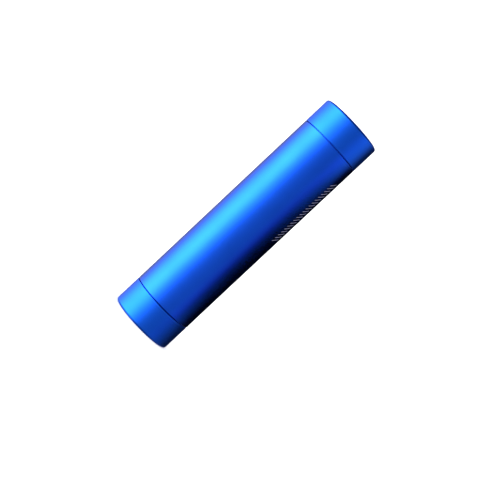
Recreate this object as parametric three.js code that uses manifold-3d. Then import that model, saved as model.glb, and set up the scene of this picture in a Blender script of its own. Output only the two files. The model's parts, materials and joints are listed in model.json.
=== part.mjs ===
// A pocket power bank: one cylindrical lithium cell in a turned aluminium tube, with a port
// module pressed on one end and a screw cap on the other. Millimetres, +Z up along the axis,
// origin at the centre of the tail cap's end face.
import * as THREE from 'three';
import { mergeVertices } from 'three/addons/utils/BufferGeometryUtils.js';
import Module from 'manifold-3d';

const wasm = await Module();
wasm.setup();

// ---------------------------------------------------------------- driving dimensions

const BODY_R = 11.0; // outside of the tube, the collar and the cap
const LENGTH = 91.8; // end face to rim
const CAP_LENGTH = 9.7; // each end piece, from its end to the seam
const SEAM = 0.2; // gap between an end piece and the tube's shoulder
const BORE_R = 9.5; // inside of the tube
const EDGE_R = 0.8; // rounding of both outer ends
const SEAM_CHAMFER = 0.22; // bevel of the edges along the seams

// The screw joint between the tube's neck and the tail cap.
const PITCH = 1.0;
const NECK_R = 10.0; // root of the neck's thread
const NECK_CREST_R = 10.3;
const CAP_BORE_R = 10.4; // root of the cap's thread
const CAP_CREST_R = 10.1;
const NECK_LOW = 3.6; // height of the neck's open end
const THREAD_LOW = 4.3; // height of the thread's first turn
const THREAD_TURNS = 3.25;
const RIDGE_BASE = 0.55; // width of a thread ridge at its root and at its crest
const RIDGE_CREST = 0.2;

// The cell, size 18650: 18 mm across and 65 mm long.
const CELL_Z = 7.0;
const CELL_R = 9.0;
const CAN_WALL = 0.25;
const CAN_HEIGHT = 64.4;
const CELL_HEIGHT = 65.2; // up to the positive button

// The port module.
const FACE_Z = LENGTH - 0.6; // the port face lies below the collar's rim
const BOARD_Y = -1.8; // middle of the circuit board, which stands on edge along the axis
const BOARD_T = 1.0;
const USB_A = { x: 0, y: 1.65, width: 13.1, height: 5.8, wall: 0.3, depth: 13.7 };
const MICRO_USB = { x: 0, y: -3.65, width: 7.5, height: 2.6, wall: 0.3, depth: 5.4 };
const BUTTON = { x: -6.1, y: -3.6, r: 1.45 };
const LIGHT = { x: 6.0, y: -3.4, r: 0.85 };
const SOCKET_Z = LENGTH - 0.8; // mouths of both sockets

const ROUND = 40; // sides of the large round pieces
const CELL_ROUND = 24;
const SMALL_ROUND = 16;
const FIT = 0.15; // gap around a piece that passes through another
const TOUCH = 0.05; // gap where two pieces rest against each other

// ---------------------------------------------------------------- materials

const material = (color, roughness, metalness) =>
  new THREE.MeshStandardMaterial({ color, roughness, metalness });

const MATERIALS = {
  anodised: material(0x1564f0, 0.35, 0.9),
  blackPlastic: material(0x17181a, 0.55, 0),
  whitePlastic: material(0xe6e6e0, 0.5, 0),
  clearPlastic: material(0xdfe8ee, 0.15, 0),
  rubber: material(0x141414, 0.8, 0),
  steel: material(0xb9bbbe, 0.3, 1),
  nickel: material(0xc9c4b8, 0.25, 1),
  gold: material(0xd8a842, 0.25, 1),
  copper: material(0xb8703a, 0.35, 1),
  board: material(0x0e4d2a, 0.45, 0),
  ferrite: material(0x3a3b3e, 0.75, 0),
  ceramic: material(0xb89a6a, 0.5, 0),
  foam: material(0x2b2b2d, 0.95, 0),
  sleeve: material(0x2f9c8c, 0.4, 0),
  paper: material(0xe9e4d2, 0.9, 0),
  electrode: material(0x5a4a40, 0.7, 0.2),
};

// ---------------------------------------------------------------- shape helpers

const at = (x, y) => new THREE.Vector2(x, y);

// Points of an arc in a turned profile, angles in degrees from the outward direction.
function arc(r, z, radius, from, to, steps = 5) {
  const points = [];
  for (let i = 0; i <= steps; i++) {
    const a = THREE.MathUtils.degToRad(from + ((to - from) * i) / steps);
    points.push(at(r + radius * Math.cos(a), z + radius * Math.sin(a)));
  }
  return points;
}

// A solid of revolution about Z. The profile lists (radius, height) either way round: from axis
// to axis, or as a loop clear of the axis.
function turned(profile, segments = ROUND) {
  const points = THREE.ShapeUtils.area(profile) > 0 ? [...profile] : [...profile].reverse();
  const meetsAxis = points.some((p) => p.x === 0);
  if (meetsAxis) {
    while (points[0].x !== 0 || points.at(-1).x !== 0) points.push(points.shift());
  } else {
    points.push(points[0].clone());
  }
  return new THREE.LatheGeometry(points, segments).rotateX(Math.PI / 2);
}

const ring = (inner, outer, low, high, segments) =>
  turned([at(inner, low), at(outer, low), at(outer, high), at(inner, high)], segments);

const disc = (r, low, high, segments) =>
  turned([at(0, low), at(r, low), at(r, high), at(0, high)], segments);

// A block between two corners.
function block([x0, y0, z0], [x1, y1, z1]) {
  return new THREE.BoxGeometry(x1 - x0, y1 - y0, z1 - z0).translate(
    (x0 + x1) / 2,
    (y0 + y1) / 2,
    (z0 + z1) / 2,
  );
}

// An outline in the XY plane pulled up from one height to another.
function pulled(outline, low, high, curveSegments = 4) {
  const options = { depth: high - low, bevelEnabled: false, curveSegments };
  return new THREE.ExtrudeGeometry(outline, options).translate(0, 0, low);
}

function roundedRectangle(x, y, width, height, radius, kind = THREE.Shape) {
  const [left, right] = [x - width / 2, x + width / 2];
  const [low, high] = [y - height / 2, y + height / 2];
  const outline = new kind();
  outline.moveTo(left + radius, low);
  outline.lineTo(right - radius, low);
  outline.absarc(right - radius, low + radius, radius, -Math.PI / 2, 0, false);
  outline.lineTo(right, high - radius);
  outline.absarc(right - radius, high - radius, radius, 0, Math.PI / 2, false);
  outline.lineTo(left + radius, high);
  outline.absarc(left + radius, high - radius, radius, Math.PI / 2, Math.PI, false);
  outline.lineTo(left, low + radius);
  outline.absarc(left + radius, low + radius, radius, Math.PI, 1.5 * Math.PI, false);
  return outline;
}

// The D-like outline of a micro socket: a box whose lower corners are cut away.
function microOutline(grow, kind = THREE.Shape) {
  const { x, y, width, height } = MICRO_USB;
  const [half, low, high] = [width / 2 + grow, y - height / 2 - grow, y + height / 2 + grow];
  const cut = 0.95;
  return new kind([
    at(x - half + cut, low),
    at(x + half - cut, low),
    at(x + half, low + cut),
    at(x + half, high),
    at(x - half, high),
    at(x - half, low + cut),
  ]);
}

// A flat strip bent along a line in the XY plane.
function bentStrip(line, thickness) {
  const side = (sign) =>
    line.map((p, i) => {
      const along = (line[i + 1] ?? p).clone().sub(line[i - 1] ?? p);
      const across = at(-along.y, along.x).normalize();
      return p.clone().addScaledVector(across, (sign * thickness) / 2);
    });
  return new THREE.Shape([...side(1).reverse(), ...side(-1)]);
}

function solidOf(geometry) {
  const bare = new THREE.BufferGeometry().setAttribute('position', geometry.attributes.position);
  if (geometry.index) bare.setIndex(geometry.index);
  const merged = mergeVertices(bare, 1e-4);
  return new wasm.Manifold(
    new wasm.Mesh({
      numProp: 3,
      vertProperties: merged.attributes.position.array,
      triVerts: new Uint32Array(merged.index.array),
    }),
  );
}

function geometryOf(solid) {
  const { vertProperties, triVerts } = solid.getMesh();
  const geometry = new THREE.BufferGeometry();
  geometry.setAttribute('position', new THREE.BufferAttribute(vertProperties, 3));
  return geometry.setIndex(new THREE.BufferAttribute(triVerts, 1));
}

const joined = (first, ...rest) =>
  geometryOf(rest.reduce((sum, g) => sum.add(solidOf(g)), solidOf(first)));

const cutFrom = (whole, ...holes) =>
  geometryOf(holes.reduce((left, g) => left.subtract(solidOf(g)), solidOf(whole)));

// A right-hand thread ridge, from root to crest, that fades in and out over its ends.
function threadRidge(rootR, crestR, low) {
  const steps = Math.round(THREAD_TURNS * ROUND);
  const fade = ROUND / 6;
  const positions = [];
  const indices = [];
  for (let i = 0; i <= steps; i++) {
    const angle = (2 * Math.PI * i) / ROUND;
    const z = low + (PITCH * i) / ROUND;
    const share = Math.min(1, (i + 1) / fade, (steps - i + 1) / fade);
    const crest = rootR + (crestR - rootR) * share;
    const section = [
      [rootR, z - RIDGE_BASE / 2],
      [crest, z - RIDGE_CREST / 2],
      [crest, z + RIDGE_CREST / 2],
      [rootR, z + RIDGE_BASE / 2],
    ];
    for (const [r, h] of section) positions.push(r * Math.cos(angle), r * Math.sin(angle), h);
  }
  const quad = (a, b, c, d) => indices.push(a, b, c, a, c, d);
  const outward = crestR > rootR;
  const face = (a, b, c, d) => (outward ? quad(a, b, c, d) : quad(d, c, b, a));
  for (let i = 0; i < steps; i++) {
    for (let k = 0; k < 4; k++) {
      const [here, next] = [4 * i + k, 4 * i + ((k + 1) % 4)];
      face(here, here + 4, next + 4, next);
    }
  }
  face(0, 1, 2, 3);
  const end = 4 * steps;
  face(end + 3, end + 2, end + 1, end);
  const geometry = new THREE.BufferGeometry();
  geometry.setAttribute('position', new THREE.Float32BufferAttribute(positions, 3));
  return geometry.setIndex(indices);
}

// ---------------------------------------------------------------- scene graph

const powerBank = new THREE.Group();

function place(parent, name, geometry, finish) {
  const mesh = new THREE.Mesh(geometry, finish);
  mesh.name = name;
  parent.add(mesh);
  return mesh;
}

// ---------------------------------------------------------------- tube and end pieces

const tubeLow = CAP_LENGTH + SEAM / 2;
const tubeHigh = LENGTH - CAP_LENGTH - SEAM / 2;
const collarNeckR = 10.15;
const collarNeckHigh = LENGTH - 3.6;
const ringGroove = { r: 9.8, low: 8.3, high: 9.1 };
const RIDGE_BITE = 0.12; // how deep a thread ridge starts inside its wall

function bodyTube() {
  const wall = turned([
    at(BORE_R + 0.15, NECK_LOW),
    at(NECK_R - 0.15, NECK_LOW),
    at(NECK_R, NECK_LOW + 0.15),
    at(NECK_R, ringGroove.low),
    at(ringGroove.r, ringGroove.low),
    at(ringGroove.r, ringGroove.high),
    at(NECK_R, ringGroove.high),
    at(NECK_R, tubeLow),
    at(BODY_R - SEAM_CHAMFER, tubeLow),
    at(BODY_R, tubeLow + SEAM_CHAMFER),
    at(BODY_R, tubeHigh - SEAM_CHAMFER),
    at(BODY_R - SEAM_CHAMFER, tubeHigh),
    at(collarNeckR, tubeHigh),
    at(collarNeckR, collarNeckHigh - 0.2),
    at(collarNeckR - 0.2, collarNeckHigh),
    at(BORE_R, collarNeckHigh),
    at(BORE_R, NECK_LOW + 0.15),
  ]);
  return joined(wall, threadRidge(NECK_R - RIDGE_BITE, NECK_CREST_R, THREAD_LOW));
}

function tailCap() {
  const floor = 1.8;
  const bayR = 9.0;
  const dish = { r: 7.2, depth: 0.25 };
  const mouth = CAP_LENGTH - SEAM / 2;
  const cup = turned([
    at(0, dish.depth),
    at(dish.r - dish.depth, dish.depth),
    at(dish.r, 0),
    ...arc(BODY_R - EDGE_R, EDGE_R, EDGE_R, -90, 0),
    at(BODY_R, mouth - SEAM_CHAMFER),
    at(BODY_R - SEAM_CHAMFER, mouth),
    at(CAP_BORE_R + 0.1, mouth),
    at(CAP_BORE_R, mouth - 0.1),
    at(CAP_BORE_R, NECK_LOW - 0.2),
    at(bayR, NECK_LOW - 0.2),
    at(bayR, floor),
    at(0, floor),
  ]);
  const ridgeLow = THREAD_LOW + PITCH / 2;
  return joined(cup, threadRidge(CAP_BORE_R + RIDGE_BITE, CAP_CREST_R, ridgeLow));
}

function neckRing() {
  const section = 0.26;
  const middle = (ringGroove.low + ringGroove.high) / 2;
  const torus = new THREE.TorusGeometry(ringGroove.r + section + 0.02, section, 6, ROUND);
  return torus.translate(0, 0, middle);
}

const lip = { r: 9.2, low: LENGTH - 1.8 };
const plateSeatR = 10.0;

function portCollar() {
  const mouth = LENGTH - CAP_LENGTH + SEAM / 2;
  const boreR = collarNeckR + 0.08;
  return turned([
    at(boreR, mouth),
    at(BODY_R - SEAM_CHAMFER, mouth),
    at(BODY_R, mouth + SEAM_CHAMFER),
    ...arc(BODY_R - EDGE_R, LENGTH - EDGE_R, EDGE_R, 0, 90),
    at(lip.r + 0.15, LENGTH),
    at(lip.r, LENGTH - 0.15),
    at(lip.r, lip.low),
    at(plateSeatR, lip.low),
    at(plateSeatR, collarNeckHigh + TOUCH),
    at(boreR, collarNeckHigh + TOUCH),
  ]);
}

function portFace() {
  const low = collarNeckHigh + 0.1;
  const high = FACE_Z;
  const boss = lip.r - TOUCH;
  const plate = turned([
    at(0, low),
    at(plateSeatR - TOUCH, low),
    at(plateSeatR - TOUCH, lip.low - TOUCH),
    at(boss, lip.low - TOUCH),
    at(boss, high - 0.15),
    at(boss - 0.15, high),
    at(0, high),
  ]);
  const through = (outline, sides) => pulled(outline, low - 1, high + 1, sides);
  const round = ({ x, y, r }) => new THREE.Shape().absarc(x, y, r, 0, 2 * Math.PI, false);
  const usbHole = roundedRectangle(
    USB_A.x, USB_A.y, USB_A.width + 2 * FIT, USB_A.height + 2 * FIT, 0.7);
  return cutFrom(
    plate,
    through(usbHole),
    through(microOutline(FIT)),
    through(round({ ...BUTTON, r: BUTTON.r + 0.1 }), SMALL_ROUND),
    through(round({ ...LIGHT, r: LIGHT.r + 0.1 }), SMALL_ROUND),
  );
}

place(powerBank, 'body_tube', bodyTube(), MATERIALS.anodised);
place(powerBank, 'port_collar', portCollar(), MATERIALS.anodised);
place(powerBank, 'port_face', portFace(), MATERIALS.blackPlastic);
place(powerBank, 'neck_o_ring', neckRing(), MATERIALS.rubber);
place(powerBank, 'tail_cap', tailCap(), MATERIALS.anodised);

// ---------------------------------------------------------------- contact spring in the tail cap

const wireR = 0.35;
const plate = { r: 8.2, low: 1.85, high: 2.15 };

// One flat turn on the plate, three rising turns that draw in, and a flat turn at the tip.
class ConicalCoil extends THREE.Curve {
  getPoint(t, target = new THREE.Vector3()) {
    const stages = [
      { turns: 1, r: [7.4, 6.6], z: [0, 0] },
      { turns: 3, r: [6.6, 3.4], z: [0, 1] },
      { turns: 0.8, r: [3.4, 2.6], z: [1, 1] },
    ];
    const low = plate.high + wireR + TOUCH;
    const high = CELL_Z - wireR - 0.1;
    let turn = t * stages.reduce((sum, s) => sum + s.turns, 0);
    const angle = 2 * Math.PI * turn;
    const stage = stages.find((s, i) => {
      if (turn <= s.turns || i === stages.length - 1) return true;
      turn -= s.turns;
      return false;
    });
    const share = Math.min(1, turn / stage.turns);
    const r = THREE.MathUtils.lerp(...stage.r, share);
    const z = THREE.MathUtils.lerp(low, high, THREE.MathUtils.lerp(...stage.z, share));
    return target.set(r * Math.cos(angle), r * Math.sin(angle), z);
  }
}

function contactSpring() {
  const wire = new THREE.Shape().absarc(0, 0, wireR, 0, 2 * Math.PI, false);
  return new THREE.ExtrudeGeometry(wire, {
    steps: 76,
    curveSegments: 3,
    bevelEnabled: false,
    extrudePath: new ConicalCoil(),
  });
}

place(powerBank, 'contact_plate', disc(plate.r, plate.low, plate.high, CELL_ROUND), MATERIALS.nickel);
place(powerBank, 'contact_spring', contactSpring(), MATERIALS.nickel);

// ---------------------------------------------------------------- cell, built from its own base up

const cell = new THREE.Group();
cell.position.z = CELL_Z;
powerBank.add(cell);

const canInnerR = CELL_R - CAN_WALL;
const bead = { z: 61.8, depth: 0.7, half: 0.8 }; // the groove rolled in under the crimp
const cornerR = 0.8;
const crimp = { r: 7.2, thickness: 0.3, corner: 0.4 }; // the can's rim, rolled over the gasket
const flange = { r: 8.05, low: 62.7, high: 63.2 }; // the positive cap's rim, held in the gasket
const nub = { r: 3.4, topR: 3.0, footR: 4.0, wall: 0.5 }; // the positive cap's raised middle
const roll = { r: 8.6, bore: 1.2, low: 0.9, high: 59.5 };
const washer = { r: 8.3, thickness: 0.3, gap: 0.2 }; // the two discs that fence the roll in
const pin = { r: 1.05, bore: 0.75, low: 1.4, high: 59.0 };
const vent = { r: 7.35, thickness: 0.2 };
const tab = { half: 2, y: 3, thickness: 0.15, gap: 0.1 }; // the strip from the roll to the vent
const topRing = { inner: 4.3, outer: 8.4, gap: 0.25, thickness: 0.15 };

function cellCan() {
  const rim = CAN_HEIGHT - crimp.corner;
  return turned(
    [
      at(0, 0),
      ...arc(CELL_R - cornerR, cornerR, cornerR, -90, 0, 3),
      at(CELL_R, bead.z - bead.half),
      at(CELL_R - bead.depth, bead.z),
      at(CELL_R, bead.z + bead.half),
      at(CELL_R, rim),
      at(CELL_R - crimp.corner, CAN_HEIGHT),
      at(crimp.r, CAN_HEIGHT),
      at(crimp.r, CAN_HEIGHT - crimp.thickness),
      at(canInnerR - crimp.corner, CAN_HEIGHT - crimp.thickness),
      at(canInnerR, rim - crimp.thickness),
      at(canInnerR, bead.z + bead.half),
      at(canInnerR - bead.depth, bead.z),
      at(canInnerR, bead.z - bead.half),
      at(canInnerR, cornerR),
      at(canInnerR + CAN_WALL - cornerR, CAN_WALL),
      at(0, CAN_WALL),
    ],
    CELL_ROUND,
  );
}

// A channel that opens inwards and wraps the positive cap's flange.
function cellGasket() {
  const [low, high] = [bead.z + 0.45, CAN_HEIGHT - crimp.thickness - TOUCH];
  const [inner, outer, wall, bevel] = [flange.r + 0.1, canInnerR - 0.1, 0.35, 0.3];
  return turned(
    [
      at(vent.r + 0.15, low),
      at(outer - bevel, low),
      at(outer, low + bevel),
      at(outer, high - bevel),
      at(outer - bevel, high),
      at(crimp.r - bevel, high),
      at(crimp.r - bevel, high - wall),
      at(inner, high - wall),
      at(inner, low + wall),
      at(vent.r + 0.15, low + wall),
    ],
    CELL_ROUND,
  );
}

function cellPositiveCap() {
  return turned(
    [
      at(0, CELL_HEIGHT),
      at(nub.topR, CELL_HEIGHT),
      at(nub.r, CELL_HEIGHT - 0.3),
      at(nub.footR, flange.high),
      at(flange.r, flange.high),
      at(flange.r, flange.low),
      at(nub.footR - nub.wall, flange.low),
      at(nub.r - nub.wall, CELL_HEIGHT - nub.wall),
      at(0, CELL_HEIGHT - nub.wall),
    ],
    CELL_ROUND,
  );
}

// A shrunk film that wraps the can's flank and turns in over both its ends.
function cellSleeve() {
  const [inner, film] = [TOUCH, 0.12];
  const wrap = (gap) => [
    at(7.5, -gap),
    ...arc(CELL_R - cornerR, cornerR, cornerR + gap, -90, 0, 3),
    at(CELL_R + gap, CAN_HEIGHT - crimp.corner + gap / 2),
    at(CELL_R - crimp.corner + gap / 2, CAN_HEIGHT + gap),
    at(7.6, CAN_HEIGHT + gap),
  ];
  return turned([...wrap(inner + film), ...wrap(inner).reverse()], CELL_ROUND);
}

const cellRing = (inner, outer, low, thickness) =>
  ring(inner, outer, low, low + thickness, CELL_ROUND);
const fence = (low) => cellRing(roll.bore, washer.r, low, washer.thickness);
const topFence = roll.high + washer.gap;
const ventLow = flange.low - 2 * vent.thickness;
const leadTab = block(
  [-tab.half, tab.y, topFence + washer.thickness + tab.gap],
  [tab.half, tab.y + tab.thickness, ventLow - tab.gap],
);
const insulatorRing = cellRing(
  topRing.inner, topRing.outer, CAN_HEIGHT + topRing.gap, topRing.thickness);

place(cell, 'cell_can', cellCan(), MATERIALS.steel);
place(cell, 'cell_bottom_insulator', fence(roll.low - washer.gap - washer.thickness), MATERIALS.paper);
place(cell, 'electrode_roll', ring(roll.bore, roll.r, roll.low, roll.high, CELL_ROUND), MATERIALS.electrode);
place(cell, 'centre_pin', ring(pin.bore, pin.r, pin.low, pin.high, SMALL_ROUND), MATERIALS.steel);
place(cell, 'cell_top_insulator', fence(topFence), MATERIALS.paper);
place(cell, 'cell_lead_tab', leadTab, MATERIALS.nickel);
place(cell, 'vent_disc', disc(vent.r, ventLow, ventLow + vent.thickness, CELL_ROUND), MATERIALS.steel);
place(cell, 'cell_gasket', cellGasket(), MATERIALS.whitePlastic);
place(cell, 'cell_positive_cap', cellPositiveCap(), MATERIALS.nickel);
place(cell, 'cell_sleeve', cellSleeve(), MATERIALS.sleeve);
place(cell, 'cell_insulator_ring', insulatorRing, MATERIALS.paper);

// ---------------------------------------------------------------- port module

const cellTop = CELL_Z + CELL_HEIGHT;
const cradle = { r: 9.3, low: cellTop + 1, floor: 1.6, grooveFit: 0.1 };
const rail = { x: 7.8, back: -3.3, front: 2.6 }; // each rail's inner face and its two sides
const railHigh = { light: 82.4, button: 87.1 }; // the first ends below the ground contact
const pad = { inner: 4.0, outer: 8.8, low: cellTop - 0.25, high: cradle.low - 0.2 };
const terminal = { r: 3.0, low: cellTop + FIT, thickness: 0.4 };
const terminalTab = { half: 1.5, thickness: 0.3, gap: 0.1, high: 77.0 };
const boardHalf = 8.5;
const boardFront = BOARD_Y + BOARD_T / 2; // the side that the large socket stands on
const boardBack = BOARD_Y - BOARD_T / 2;
const boardLow = cradle.low + cradle.floor + 0.3;
const boardHigh = 87.2; // leaves the button's flange room to travel

// A floor with two grooved rails that hold the board by its edges.
function boardCradle() {
  const { r, low, floor, grooveFit } = cradle;
  const rails = solidOf(block([rail.x, rail.back, low], [r, rail.front, railHigh.light]))
    .add(solidOf(block([-r, rail.back, low], [-rail.x, rail.front, railHigh.button])))
    .intersect(solidOf(disc(r, low, LENGTH, CELL_ROUND)));
  const groove = block(
    [-boardHalf - grooveFit, boardBack - grooveFit, boardLow - grooveFit],
    [boardHalf + grooveFit, boardFront + grooveFit, LENGTH],
  );
  const slotGap = 0.5; // room for the terminal's tab
  const slot = block(
    [-terminalTab.half - slotGap, boardFront - slotGap, low - 1],
    [terminalTab.half + slotGap, boardFront + terminalTab.thickness + slotGap, boardLow],
  );
  return cutFrom(joined(disc(r, low, low + floor, CELL_ROUND), geometryOf(rails)), groove, slot);
}

function positiveContact() {
  const { half, thickness, gap, high } = terminalTab;
  const { r, low } = terminal;
  const strip = block(
    [-half, boardFront + gap, low + terminal.thickness / 2],
    [half, boardFront + gap + thickness, high],
  );
  return joined(disc(r, low, low + terminal.thickness, SMALL_ROUND), strip);
}

// A leaf that presses on the tube's bore, so that the tube carries the return current.
function groundContact() {
  const [width, thickness, gap] = [1.8, 0.22, 0.15];
  const line = [at(6.9, 83.1), at(8.2, 83.1), at(9.3, 85.0), at(8.5, 86.8)];
  const options = { depth: width, bevelEnabled: false };
  const leaf = new THREE.ExtrudeGeometry(bentStrip(line, thickness), options);
  return leaf.rotateX(Math.PI / 2).translate(0, boardFront + gap + width, 0);
}

place(
  powerBank,
  'cell_pad',
  ring(pad.inner, pad.outer, pad.low, pad.high, CELL_ROUND),
  MATERIALS.foam,
);
place(powerBank, 'board_cradle', boardCradle(), MATERIALS.blackPlastic);
place(powerBank, 'positive_contact', positiveContact(), MATERIALS.nickel);
place(powerBank, 'ground_contact', groundContact(), MATERIALS.nickel);
place(
  powerBank,
  'circuit_board',
  block([-boardHalf, boardBack, boardLow], [boardHalf, boardFront, boardHigh]),
  MATERIALS.board,
);

// ---- USB-A socket: shell, insert with its tongue, and four contacts

const usbLow = SOCKET_Z - USB_A.depth;

function usbShell() {
  const { x, y, width, height, wall } = USB_A;
  const outline = roundedRectangle(x, y, width, height, 0.6);
  outline.holes.push(
    roundedRectangle(x, y, width - 2 * wall, height - 2 * wall, 0.35, THREE.Path));
  return pulled(outline, usbLow, SOCKET_Z);
}

const tongue = { half: 5.5, low: USB_A.y + 0.06, high: USB_A.y + 1.9, mouth: SOCKET_Z - 1.2 };
const insertHigh = usbLow + 4.1;

function usbInsert() {
  const { y, width, height, wall } = USB_A;
  const [halfX, halfY] = [width / 2 - wall - 0.1, height / 2 - wall - 0.1];
  const base = block([-halfX, y - halfY, usbLow + 0.1], [halfX, y + halfY, insertHigh]);
  const blade = block(
    [-tongue.half, tongue.low, insertHigh - 1],
    [tongue.half, tongue.high, tongue.mouth],
  );
  return joined(base, blade);
}

place(powerBank, 'usb_a_shell', usbShell(), MATERIALS.steel);
place(powerBank, 'usb_a_insert', usbInsert(), MATERIALS.whitePlastic);
const usbContacts = [
  { x: -3.5, length: 7.4 },
  { x: -1.0, length: 6.4 },
  { x: 1.0, length: 6.4 },
  { x: 3.5, length: 7.4 },
];
usbContacts.forEach(({ x, length }, i) => {
  const [half, thickness, gap] = [0.5, 0.2, 0.03];
  const strip = block(
    [x - half, tongue.low - gap - thickness, insertHigh + gap],
    [x + half, tongue.low - gap, insertHigh + length],
  );
  place(powerBank, `usb_a_contact_${i + 1}`, strip, MATERIALS.gold);
});

// ---- micro USB socket

const microLow = SOCKET_Z - MICRO_USB.depth;
const microBase = 1.5;
const microTongue = { half: 1.85, low: 0.05, high: 0.65, short: 1.0 };

function microShell() {
  const outline = microOutline(0);
  outline.holes.push(microOutline(-MICRO_USB.wall, THREE.Path));
  return pulled(outline, microLow, SOCKET_Z);
}

function microInsert() {
  const base = pulled(microOutline(-MICRO_USB.wall - 0.1), microLow + 0.1, microLow + microBase);
  const { half, low, high, short } = microTongue;
  const blade = block(
    [MICRO_USB.x - half, MICRO_USB.y + low, microLow + 1],
    [MICRO_USB.x + half, MICRO_USB.y + high, SOCKET_Z - short],
  );
  return joined(base, blade);
}

place(powerBank, 'micro_usb_shell', microShell(), MATERIALS.steel);
place(powerBank, 'micro_usb_insert', microInsert(), MATERIALS.blackPlastic);
for (let i = 0; i < 5; i++) {
  const [pitch, half, thickness, gap] = [0.65, 0.16, 0.1, 0.03];
  const x = MICRO_USB.x + (i - 2) * pitch;
  const high = MICRO_USB.y + microTongue.low - gap;
  const strip = block(
    [x - half, high - thickness, microLow + microBase + gap],
    [x + half, high, SOCKET_Z - microTongue.short - 0.3],
  );
  place(powerBank, `micro_usb_contact_${i + 1}`, strip, MATERIALS.gold);
}

// ---- power button, its switch, and the charge light

const partBase = boardBack - TOUCH; // where a piece on the board's back begins
const switchBox = { halfX: 1.5, halfY: 1.35, low: 84.2, high: 87.15 };
const well = { r: 0.8, low: 85.9 };
const plunger = { r: 0.65, low: 86.5 };
const buttonFlange = { r: 1.8, low: 87.75, thickness: 0.45 };
const pipeFlange = { r: 1.3, low: 87.55, high: 88.2 };
const led = { half: 0.8, y: -3.6, low: 86.6, high: 87.4 };

function switchBody() {
  const { x, y } = BUTTON;
  const { halfX, halfY, low, high } = switchBox;
  const housing = block([x - halfX, y - halfY, low], [x + halfX, partBase, high]);
  return cutFrom(housing, disc(well.r, well.low, high + 1, SMALL_ROUND).translate(x, y, 0));
}

const button = new THREE.Group();
button.position.set(BUTTON.x, BUTTON.y, 0);
powerBank.add(button);

const buttonCap = turned(
  [
    at(0, buttonFlange.low),
    at(buttonFlange.r, buttonFlange.low),
    at(buttonFlange.r, buttonFlange.low + buttonFlange.thickness),
    at(BUTTON.r, buttonFlange.low + buttonFlange.thickness),
    at(BUTTON.r, FACE_Z - 0.25),
    at(BUTTON.r - 0.2, FACE_Z - 0.05),
    at(0, FACE_Z - 0.05),
  ],
  SMALL_ROUND,
);
place(powerBank, 'switch_body', switchBody(), MATERIALS.steel);
place(button, 'power_button', buttonCap, MATERIALS.anodised);
place(
  button,
  'switch_plunger',
  disc(plunger.r, plunger.low, buttonFlange.low - TOUCH, SMALL_ROUND),
  MATERIALS.whitePlastic,
);

const lightPipe = turned(
  [
    at(0, pipeFlange.low),
    at(pipeFlange.r, pipeFlange.low),
    at(pipeFlange.r, pipeFlange.high),
    at(LIGHT.r, pipeFlange.high),
    at(LIGHT.r, FACE_Z - 0.1),
    at(0, FACE_Z - 0.1),
  ],
  SMALL_ROUND,
).translate(LIGHT.x, LIGHT.y, 0);
place(powerBank, 'light_pipe', lightPipe, MATERIALS.clearPlastic);
place(
  powerBank,
  'charge_led',
  block([LIGHT.x - led.half, led.y, led.low], [LIGHT.x + led.half, partBase, led.high]),
  MATERIALS.whitePlastic,
);

// ---- power electronics on the board

// A drum core lying on the board's back, with its winding between the flanges.
const inductor = new THREE.Group();
inductor.position.set(0, partBase, 79.6);
inductor.rotation.x = Math.PI / 2;
powerBank.add(inductor);
const drum = { r: 3.0, coreR: 1.6, flange: 0.7, height: 3.1 };
const winding = { inner: 1.75, outer: 2.75, gap: 0.1 };
const core = turned(
  [
    at(0, 0),
    at(drum.r, 0),
    at(drum.r, drum.flange),
    at(drum.coreR, drum.flange),
    at(drum.coreR, drum.height - drum.flange),
    at(drum.r, drum.height - drum.flange),
    at(drum.r, drum.height),
    at(0, drum.height),
  ],
  SMALL_ROUND,
);
const wound = ring(
  winding.inner,
  winding.outer,
  drum.flange + winding.gap,
  drum.height - drum.flange - winding.gap,
  SMALL_ROUND,
);
place(inductor, 'inductor_core', core, MATERIALS.ferrite);
place(inductor, 'inductor_winding', wound, MATERIALS.copper);

// A chip of the power stage lies on the board's back, at a distance to one side of its middle.
function chip(x) {
  const [half, thickness, low, high] = [1.9, 1.5, 77.2, 82.0];
  return block([x - half, partBase - thickness, low], [x + half, partBase, high]);
}

function capacitor(x, half, back, front, low) {
  return block([x - half, back, low], [x + half, front, low + 1.6]);
}

const capacitorHeight = 1.25; // above the board
place(powerBank, 'boost_chip', chip(5.5), MATERIALS.blackPlastic);
place(powerBank, 'charger_chip', chip(-5.5), MATERIALS.blackPlastic);
place(
  powerBank,
  'input_capacitor',
  capacitor(0, 1.6, partBase - capacitorHeight, partBase, 83.1),
  MATERIALS.ceramic,
);
place(
  powerBank,
  'output_capacitor',
  capacitor(4.15, 1.75, boardFront + TOUCH, boardFront + TOUCH + capacitorHeight, 75.4),
  MATERIALS.ceramic,
);

export default powerBank;
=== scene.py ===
"""Looks of a pocket power bank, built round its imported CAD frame.

The scene is in metres. The part's sizes are written in millimetres, and the studio's in metres.
"""

import json
import math

import bmesh
import bpy
from mathutils import Matrix, Vector

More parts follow.
